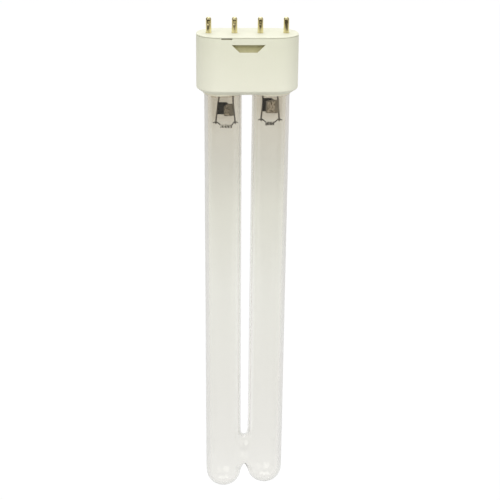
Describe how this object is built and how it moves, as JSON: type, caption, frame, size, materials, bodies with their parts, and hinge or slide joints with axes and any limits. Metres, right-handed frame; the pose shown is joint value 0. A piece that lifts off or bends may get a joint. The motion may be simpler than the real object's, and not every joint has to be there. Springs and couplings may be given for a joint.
{
  "type": "twin-tube plug-in germicidal lamp",
  "caption": "Compact UV lamp: clear glass limbs joined by a bridge in an H, with visible cathode mounts, in a cream moulded plug-in cap with a row of brass pins.",
  "frame": {"origin": "centre of the cap's pin face", "axes": "+Z along the pins, out of the cap; X along the pin row; -Y towards the front latch recess in the picture"},
  "size_m": [0.0436, 0.0234, 0.2232],
  "materials": {
    "clear_glass": "clear, faintly milky",
    "stem_glass": "clear, pressed",
    "cap_plastic": "satin moulded",
    "cement": "matte",
    "coated_tungsten": "powder coated wire",
    "plated_strip": "nickel plated, grey powder face",
    "nickelled_wire": "drawn",
    "copper_wire": "drawn",
    "pin_brass": "drawn, bright"
  },
  "bodies": {
    "root": {"cap_housing": "cap_plastic", "cathode_coil_left": "coated_tungsten", "cathode_coil_right": "coated_tungsten", "cement_ring_left": "cement", "cement_ring_right": "cement", "contact_pin_1": "pin_brass", "contact_pin_2": "pin_brass", "contact_pin_3": "pin_brass", "contact_pin_4": "pin_brass", "discharge_tube": "clear_glass", "getter_strip_left": "plated_strip", "getter_strip_right": "plated_strip", "inner_lead_1": "nickelled_wire", "inner_lead_2": "nickelled_wire", "inner_lead_3": "nickelled_wire", "inner_lead_4": "nickelled_wire", "outer_lead_1": "copper_wire", "outer_lead_2": "copper_wire", "outer_lead_3": "copper_wire", "outer_lead_4": "copper_wire", "pin_plate": "cap_plastic", "stem_left": "stem_glass", "stem_right": "stem_glass"}
  },
  "joints": []
}
